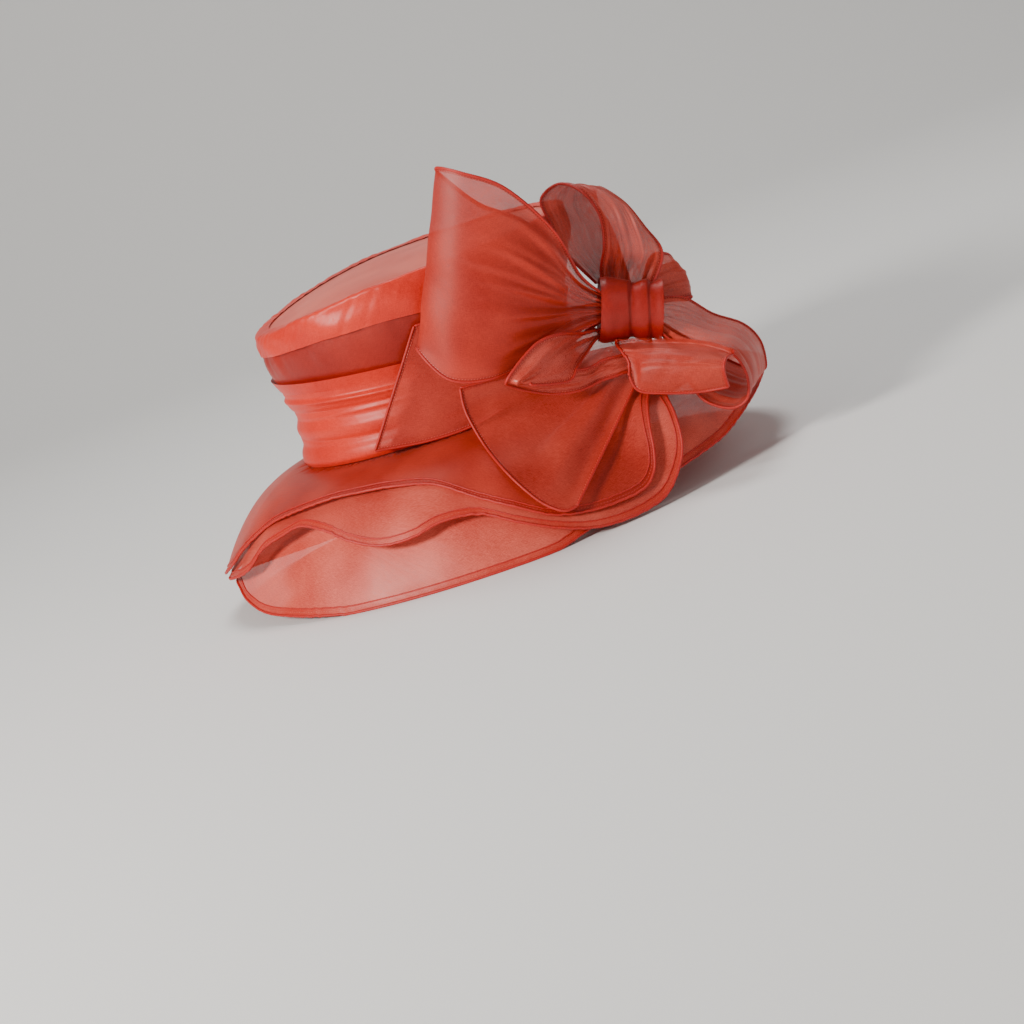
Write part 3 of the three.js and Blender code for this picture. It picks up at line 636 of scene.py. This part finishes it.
def make_crown():
    share = np.linspace(1, -0.02, 70)[:, None] + 0 * CROWN_TURNS
    turns = CROWN_TURNS + 0 * share
    near_tip = smooth(0.62, 0.84, share)
    pull = round_ripple(11, turns + 14 * share, 24, 60) * near_tip * 0.35
    sag = round_ripple(12, turns, 3, 8) * 0.5
    grid = crown_points(turns, share, pull + sag)
    side = cloth("crown_cloth", grid, closed=True, hem_sides=())
    place(side, "crown_side", "organza_crown", crown_cloth, **cut_of(grid, True), rests=["brim_cloth_painted_highlight"])

    share = np.linspace(0.001, 1, 60)[:, None] + 0 * CROWN_TURNS
    turns = CROWN_TURNS + 0 * share
    puckers = round_ripple(13, turns, 30, 70) * smooth(0.86, 1, share) * 0.16
    angle = np.radians(turns)
    soft = ripple(14, share * np.cos(angle), share * np.sin(angle), 0.9, 0.9) * 0.5
    soft = soft * (1 - smooth(0.7, 0.92, share))
    tip = cloth("tip_cloth_painted_highlight", tip_points(turns, share, 1.15 + puckers + soft), closed=True, hem_sides=())
    place(tip, "crown_tip", "organza_tip", tip_cloth_painted_highlight, flat=TIP_CUT, rests=["crown_cloth"])

    places = np.linspace(0, 4, 26)
    turns = CROWN_TURNS[0]
    reach = BINDING_BACK + (BINDING_FRONT - BINDING_BACK) * forward_share(turns)
    lines = [tip_points(turns, np.full_like(turns, 1 - inward / TIP_EDGE_REACH), above)
             for inward, above in ((8, 2.1), (-1.0, 3.3))]
    for down, out in ((0.12, 3.3), (0.55, 3.4), (1, 1.9)):
        share = 1 - down * reach / (CROWN_RISE - seam_dip(turns))
        lines.append(crown_points(turns, share, out))
    lines = np.stack(lines)
    grid = np.stack([
        np.stack([along_value(lines[:, c, k], places) for k in range(3)], axis=1)
        for c in range(lines.shape[1])
    ], axis=1)
    turns = turns[None, :] + 0 * places[:, None]
    gather = round_ripple(15, turns + 3 * places[:, None], 40, 90) * 0.18
    crease = round_ripple(16, turns - 6 * places[:, None], 8, 22) * 0.55
    slack = ripple(17, turns / 60, places[:, None] / 4, 1.4, 0.5) * 0.35
    slack = slack * smooth(1.0, 2.0, places)[:, None] * seam_fade(turns)
    crease = crease * smooth(0.2, 1.2, places)[:, None]
    grid = displaced(grid, gather + crease + slack, closed=True)
    binding = cloth("binding_cloth", grid, closed=True, hem_sides=())
    place(binding, "tip_binding", "organza_crown", band_cloth, rests=["crown_cloth"],
          **cut_of(grid, True))


def make_band():
    rows, turns = 96, np.arange(0, 360, 0.75)[None, :]
    height = np.linspace(1, 0, rows)[:, None] + 0 * turns
    turns = turns + 0 * height
    sway = keyed_value(BAND_FOLDS[:, 0], BAND_FOLDS[:, 2], height)
    stand = keyed_value(BAND_FOLDS[:, 0], BAND_FOLDS[:, 1], height)
    swayed = height + sway * np.cos(np.radians(turns - 40))
    reach = BAND_HEIGHT - BAND_SIDE_DROP * forward_share(turns)
    share = (BAND_START - CROWN_FOOT + reach * swayed) / (CROWN_RISE - seam_dip(turns))
    extra = np.zeros_like(height)
    rng = np.random.default_rng(21)
    for _ in range(14):
        line = rng.uniform(0.15, 0.95)
        slope = rng.uniform(-0.12, 0.12)
        line = line + slope * np.cos(np.radians(turns - rng.uniform(0, 360)))
        width = rng.uniform(0.018, 0.04)
        strength = smooth(-0.2, 0.8, np.cos(np.radians(turns - rng.uniform(0, 360))))
        lift = rng.choice([-1, 1]) * rng.uniform(0.4, 1.0)
        extra += lift * strength * np.exp(-((height - line) / width) ** 2)
    grid = crown_points(turns, share, 2.2 + 2.6 * stand + extra)
    band = cloth("band_cloth", grid, closed=True, hem_sides=())
    place(band, "hat_band", "organza_crown", band_cloth, held="gathered", rests=["crown_cloth"],
          **cut_of(grid, True))


# Brim
BRIM_TURNS = np.arange(0, 360, 0.75)[None, :]


def brim_layer(name, node, slot, material, edge, start, hem, droop, seed, sag):
    """One layer of the brim, from the crown's foot to its corded edge."""
    rows = np.concatenate([np.linspace(0, 0.9, 40), np.linspace(0.912, 1, 12)])[:, None]
    share = rows + 0 * BRIM_TURNS
    turns = BRIM_TURNS + 0 * share
    inner = oval(turns, HEAD_LENGTH + 3.4, HEAD_WIDTH + 3.4, CROWN_BACK, start)
    outer = oval(turns, BRIM_LENGTH - hem, BRIM_WIDTH - hem, 0.0, 0.0)
    rise = np.maximum(round_value(edge, 2, turns), 0)
    outer = outer * round_value(edge, 1, turns)[..., None]
    drop = start - rise * CROWN_FOOT
    grid = inner + (outer - inner) * share[..., None]
    grid[..., 2] = start - drop * share**droop
    room = sag(turns)
    bulge = share**2 * (1 - share) * CLOTH_SWELL
    ripples = round_ripple(seed, turns + 9 * share, 9, 26) * 0.9
    ripples = ripples * smooth(0.1, 0.8, share) * (1 - smooth(0.93, 1, share))
    puckers = round_ripple(seed + 1, turns, 60, 150) * 0.5 * (1 - smooth(0.02, 0.16, share))
    hem_wave = round_ripple(seed + 2, turns, 90, 190) * 0.22 * smooth(0.95, 1, share)
    grid[..., 2] += room * (bulge + 0.8 * ripples) + puckers + hem_wave
    grid[..., 2] = np.maximum(grid[..., 2], BRIM_FLOOR_GAP)
    sheet = cloth(name, grid, closed=True)
    normal = normals_of(grid, True)
    flip = np.sign(normal[-1, :, 2:3].mean())
    inwards = (grid[-4] - grid[-1]) / np.linalg.norm(grid[-4] - grid[-1], axis=1, keepdims=True)
    up = normal[-3] * flip
    edge_line = resampled(grid[-1], 0.8, True)
    inner_line = resampled(grid[-1] + INNER_CORD_INWARD * inwards + 0.1 * up, 1.0, True)
    stitch_line = grid[-1] + HEM_STITCH_INWARD * inwards
    cord = tube(name + "_wire", edge_line, CORD_RADIUS, closed=True, sides=7)
    second = tube(name + "_cord", inner_line, INNER_CORD_RADIUS, closed=True, sides=6)
    row = stitches(name + "_stitches", stitch_line, up, 2.3, 1.7, 0.35, closed=True)
    for extra, look in ((cord, cord_thread), (second, cord_thread), (row, stitch_thread)):
        place(extra, None, slot, look)
    place(sheet, node, slot, material, held="draped", rests=["crown_cloth"], extras=[cord, row, second],
          **cut_of(grid, True))


def gap_between(lower, upper, calmer=0.0):
    """How far the cloth may swell up towards the layer above at a turn, 0 to 1. The side away from
    the bow may be calmer."""
    def room(turns):
        apart = round_value(upper, 2, turns) - round_value(lower, 2, turns)
        away = 0.5 - 0.5 * np.sin(np.radians(turns))
        return smooth(0.06, 0.3, apart) * (1 - calmer * away)
    return room


def make_brim():
    brim_layer("brim_cloth_painted_highlight", "brim_base", "organza_brim", brim_cloth_painted_highlight, BASE_EDGE, BASE_START, 2.8, 1.8,
               31, gap_between(BASE_EDGE, MIDDLE_EDGE))
    brim_layer("ruffle_middle_cloth", "ruffle_middle", "organza_ruffle", middle_cloth_painted_highlight, MIDDLE_EDGE,
               MIDDLE_START, 1.4, 2.0, 41, gap_between(MIDDLE_EDGE, TOP_EDGE, 0.6))
    brim_layer("ruffle_top_cloth", "ruffle_top", "organza_ruffle", top_ruffle_painted_shade, TOP_EDGE,
               TOP_START, 1.4, 2.3, 51, lambda turns: 0.12 * np.ones_like(turns))


# Bow
TILT = math.radians(BOW_TILT)
ALONG = np.array([0, -math.cos(TILT), -math.sin(TILT)])
UP = np.array([0, -math.sin(TILT), math.cos(TILT)])
OUT = np.array([-1.0, 0, 0])


def bow_points(along, up, out):
    """Places by their distances along the bow, up and out from the knot's centre."""
    return KNOT_CENTRE + along[..., None] * ALONG + up[..., None] * UP + out[..., None] * OUT


def crease_lift(creases, s, q):
    """Lift of sharp folds. A fold runs straight between two spots of the ribbon, given as shares of
    its length and width, with a height and a half width, and it dies away at both ends."""
    lift = np.zeros(np.broadcast(s, q).shape)
    for (s0, q0), (s1, q1), height, half in creases:
        run = np.array([s1 - s0, q1 - q0])
        length = np.linalg.norm(run)
        along = ((s - s0) * run[0] + (q - q0) * run[1]) / length**2
        aside = ((q - q0) * run[0] - (s - s0) * run[1]) / length
        ends = smooth(-0.05, 0.15, along) * (1 - smooth(0.6, 1.0, along))
        ridge = np.exp(-np.abs(aside / half) ** 1.3) - 0.5 * np.exp(-((aside - 1.8 * half) / half) ** 2)
        lift = lift + height * ends * ridge
    return lift


def ribbon_grid(table, rows, columns, seed, pleats=1.6, creases=()):
    """A ribbon through its stations, gathered into pleats near the knot and rippled elsewhere."""
    places = np.linspace(0, len(table) - 1, rows)
    value = np.stack([along_value(table[:, k], places) for k in range(8)], axis=1)
    top = bow_points(*(BOW_SPAN * value[:, k] for k in (0, 1, 2)))
    low = bow_points(*(BOW_SPAN * value[:, k] for k in (3, 4, 5)))
    q = np.linspace(0, 1, columns)[None, :]
    grid = top[:, None] * (1 - q[..., None]) + low[:, None] * q[..., None]
    puff = BOW_SPAN * value[:, 6][:, None]
    gather = np.clip(value[:, 7][:, None], 0, 1)
    s = places[:, None] / (len(table) - 1)
    rng = np.random.default_rng(seed)
    fold = np.zeros((rows, columns))
    for waves, weight in ((3, 0.8), (5, 0.6), (7, 0.5), (10, 0.3), (13, 0.22)):
        phase = rng.uniform(0, 2 * np.pi)
        drift = rng.uniform(-0.8, 0.8)
        bent = q + 0.06 * np.sin(2 * np.pi * q + phase)
        fold += weight * np.sin(2 * np.pi * waves * bent + phase + drift * 6 * s)
    ends = smooth(0, 0.05, q) * smooth(0, 0.05, 1 - q)
    soft = ripple(seed + 7, q, s, 0.45, 0.22)
    lift = 4 * puff * q * (1 - q)
    lift = lift + pleats * gather * fold * (0.35 + 0.65 * ends)
    lift = lift + 0.35 * soft * (1 - 0.6 * gather)
    return displaced(grid, lift + crease_lift(creases, s, q))


def ribbon(name, node, grid, held="gathered", sides=("left", "right"), look=bow_cloth):
    """A ribbon's cloth with its corded edges and their stitches."""
    sheet = cloth(name, grid, hem_sides=sides)
    normal = normals_of(grid, False)
    edges = {"left": grid[:, 0], "right": grid[:, -1], "first": grid[0], "last": grid[-1]}
    inner = {"left": grid[:, 2], "right": grid[:, -3], "first": grid[2], "last": grid[-3]}
    ups = {"left": normal[:, 0], "right": normal[:, -1], "first": normal[0], "last": normal[-1]}
    extras = []
    for side in sides:
        line = edges[side]
        extras.append(place(
            tube(f"{name}_{side}_wire", resampled(line, 0.7), CORD_RADIUS, twist_pitch=1.6),
            None, "organza_bow", cord_thread,
        ))
        step = inner[side] - line
        reach = np.maximum(np.linalg.norm(step, axis=1, keepdims=True), 1e-6)
        inward = line + step / reach * (CORD_RADIUS + 0.8)
        for face, label in ((1, "a"), (-1, "b")):
            row = stitches(
                f"{name}_{side}_stitches_{label}", inward, ups[side] * face, 2.0, 1.5, 0.3, slant=0.6,
            )
            extras.append(place(row, None, "organza_bow", stitch_thread))
    place(sheet, node, "organza_bow", look, held=held, rests=["knot_cloth_painted_shade"], extras=extras,
          **cut_of(grid))


def tucked(grid, steps):
    """A ribbon whose top edge runs on in steps with soft gathers. A step goes up, back towards the
    crown and, at the first station, to the left."""
    gathers = 0.5 * np.sin(np.linspace(0, 16 * np.pi, len(grid)))
    first = np.linspace(1, 0, len(grid))[:, None]
    extra = [
        grid[:, 0] + up * UP - (back + gathers)[:, None] * OUT - left * first * ALONG
        for up, back, left in steps
    ]
    return np.concatenate([np.stack(extra, axis=1), grid], axis=1)


def make_knot():
    rows, turns = 70, np.arange(0, 360, 3.0)[None, :]
    along = np.linspace(-0.5, 0.5, rows)[:, None] + 0 * turns
    turns = turns + 0 * along
    swell = keyed_value(
        [-0.5, -0.4, -0.18, 0.04, 0.24, 0.38, 0.5], [1.05, 1.09, 1.03, 0.96, 1.01, 1.0, 1.03], along,
    )
    slanted = along + 0.06 * np.sin(np.radians(turns)) + 0.02 * np.sin(np.radians(2 * turns + 40))
    for pleat, depth in ((0.03, 0.07), (0.34, 0.075)):
        past = slanted - pleat
        swell = swell - depth * smooth(-0.05, 0.0, past) * (1 - smooth(0.0, 0.2, past))
    swell = swell + 0.006 * ripple(61, along, np.radians(turns), 0.3, 2.5) * seam_fade(turns)
    angle = np.radians(turns)
    points = bow_points(
        KNOT_LENGTH * along,
        0.5 * (KNOT_TALL - 2) * swell * np.cos(angle),
        0.5 * (KNOT_DEEP - 2) * swell * np.sin(angle),
    )
    knot = cloth("knot_cloth_painted_shade", points, closed=True, hem_sides=())
    place(knot, "bow_knot", "organza_bow", knot_cloth_painted_shade, held="folded", rests=["band_cloth"],
          **cut_of(points, True))


# Where the lower loop's end runs on to the right and is tucked in behind the rolled tail
LOWER_TUCK = np.array([
    [-0.055, -0.178, 0.096, -0.050, -0.124, 0.077, 0, 0.3],
    [-0.012, -0.165, 0.081, -0.010, -0.118, 0.056, 0, 0.6],
])

# Sharp folds: start and end as shares of the ribbon's length and width, height and half width
LEFT_CREASES = (
    ((0.02, 0.42), (0.34, 0.30), 1.9, 0.022), ((0.02, 0.52), (0.36, 0.50), 2.2, 0.024),
    ((0.03, 0.60), (0.34, 0.68), 1.8, 0.022), ((0.02, 0.30), (0.26, 0.12), 1.4, 0.02),
    ((0.06, 0.72), (0.30, 0.90), 1.3, 0.02), ((0.10, 0.46), (0.42, 0.40), 1.2, 0.016),
)
UPPER_CREASES = (
    ((0.02, 0.30), (0.48, 0.22), -2.0, 0.03), ((0.02, 0.62), (0.46, 0.70), -2.0, 0.03),
    ((0.60, 0.55), (0.98, 0.50), 1.4, 0.03),
)
LOWER_CREASES = (
    ((0.30, 0.15), (0.62, 0.70), 2.2, 0.06), ((0.66, 0.75), (1.05, 0.30), 1.8, 0.06),
)
ROLL_CREASES = (((0.02, 0.62), (1.10, 0.50), -1.6, 0.03), ((0.0, 0.30), (0.8, 0.22), -0.9, 0.03))


def make_bow():
    make_knot()
    left = ribbon_grid(LEFT_LOOP, 190, 84, 71, creases=LEFT_CREASES)
    ribbon("loop_left_cloth", "loop_left", left, look=left_cloth_painted_shade)
    upper = ribbon_grid(UPPER_LOOP, 120, 48, 72, creases=UPPER_CREASES)
    ribbon("loop_upper_cloth", "loop_upper", upper, look=upper_cloth)
    far = ribbon_grid(FAR_LOOP, 80, 36, 73, pleats=1.2)
    ribbon("loop_far_cloth", "loop_far", far, look=upper_cloth)
    right = ribbon_grid(RIGHT_LOOP, 150, 44, 74, pleats=2.0)
    ribbon("loop_right_cloth", "loop_right", right, look=upper_cloth)
    lower = np.vstack([LOWER_LOOP, LOWER_TUCK])
    lower = ribbon_grid(lower, 132, 30, 75, pleats=0.6, creases=LOWER_CREASES)
    ribbon("loop_lower_cloth", "loop_lower", lower, look=lower_cloth_painted_highlight)
    side = ribbon_grid(SIDE_TAIL, 90, 44, 76, pleats=1.3)
    ribbon("tail_side_cloth", "tail_side", side, sides=("left", "right", "last"), held="hung")
    roll = ribbon_grid(ROLLED_TAIL, 80, 40, 77, pleats=0.8, creases=ROLL_CREASES)
    roll = tucked(roll, ((3.6, -4.4, 0), (1.8, -2.4, 0)))
    ribbon("tail_rolled_cloth", "tail_rolled", roll, sides=("right", "first", "last"), held="hung")

    # The front tail's first side rises and goes back near its top, to lie behind the knot.
    fan = ribbon_grid(FRONT_TAIL, 90, 70, 78, pleats=0.0)
    near_top = 1 - smooth(0.12, 0.45, np.linspace(0, 1, 70))[None, :]
    first_side = 1 - smooth(0, 0.3, np.linspace(0, 1, 90))[:, None]
    fan = fan + (near_top * first_side)[..., None] * (7.0 * UP - 17.0 * OUT)
    fan = tucked(fan, ((9.5, 18.0, 14.0), (4.8, 13.0, 8.5), (1.2, 7.0, 3.5)))
    ribbon("tail_front_cloth", "tail_front", fan, sides=("right", "first", "last"), held="hung")


def make_room():
    """A plain pale floor that curves up into a backdrop, and soft studio lights."""
    wide, deep, tall, bend = 6.0, 2.5, 4.0, 1.2
    profile = [(-3.0, 0.0), (deep - bend, 0.0)]
    for angle in np.linspace(0.1, math.pi / 2, 14):
        profile.append((deep - bend + bend * math.sin(angle), bend - bend * math.cos(angle)))
    profile.append((deep, tall))
    points = [(x, side * wide / 2, z) for x, z in profile for side in (-1, 1)]
    faces = [(2 * i, 2 * i + 1, 2 * i + 3, 2 * i + 2) for i in range(len(profile) - 1)]
    mesh = bpy.data.meshes.new("studio_floor")
    mesh.from_pydata(points, [], faces)
    mesh.shade_smooth()
    floor = bpy.data.objects.new("studio_floor", mesh)
    bpy.context.scene.collection.objects.link(floor)
    material = bpy.data.materials.new("pale_paper")
    material.use_nodes = True
    shader = material.node_tree.nodes["Principled BSDF"]
    shader.inputs["Base Color"].default_value = (0.86, 0.85, 0.83, 1)
    shader.inputs["Roughness"].default_value = 0.9
    floor.data.materials.append(material)

    def light(name, place, aim, size, power, colour):
        lamp = bpy.data.lights.new(name, "AREA")
        lamp.shape = "DISK"
        lamp.size = size
        lamp.energy = power
        lamp.color = colour
        lamp_object = bpy.data.objects.new(name, lamp)
        lamp_object.location = place
        lamp_object.rotation_euler = (Vector(aim) - Vector(place)).to_track_quat("-Z", "Y").to_euler()
        bpy.context.scene.collection.objects.link(lamp_object)

    light("key", (-1.3, 1.5, 1.0), (0, 0.03, 0.06), 0.5, 52, (1, 0.97, 0.93))
    light("fill", (-1.7, -1.4, 0.9), (0, 0, 0.1), 1.2, 5, (1, 0.98, 0.96))
    light("top", (0.5, -0.2, 2.0), (0, 0, 0.1), 0.9, 20, (1, 1, 1))
    world = bpy.data.worlds.new("studio")
    world.use_nodes = True
    world.node_tree.nodes["Background"].inputs["Color"].default_value = (1, 0.99, 0.98, 1)
    world.node_tree.nodes["Background"].inputs["Strength"].default_value = 0.22
    bpy.context.scene.world = world


def make_camera():
    distance, millimetres_per_pixel, picture = 1.9, 0.715, 1024
    azimuth, elevation, roll = math.radians(-90), math.radians(12), math.radians(20)
    outward = math.cos(elevation)
    back = Vector((math.sin(azimuth) * outward, -math.cos(azimuth) * outward, math.sin(elevation)))
    level = Vector((0, 0, 1)).cross(back).normalized()
    above = back.cross(level)
    right = math.cos(roll) * level - math.sin(roll) * above
    up = math.sin(roll) * level + math.cos(roll) * above
    camera = bpy.data.cameras.new("camera")
    camera.sensor_width = 36
    camera.lens = 36 * distance / (millimetres_per_pixel * MM * picture)
    seen = bpy.data.objects.new("camera", camera)
    turn = Matrix((right, up, back)).transposed()
    seen.matrix_world = Matrix.Translation(back * distance) @ turn.to_4x4()
    bpy.context.scene.collection.objects.link(seen)
    bpy.context.scene.camera = seen


make_room()
make_camera()
make_crown()
make_band()
make_brim()
make_bow()
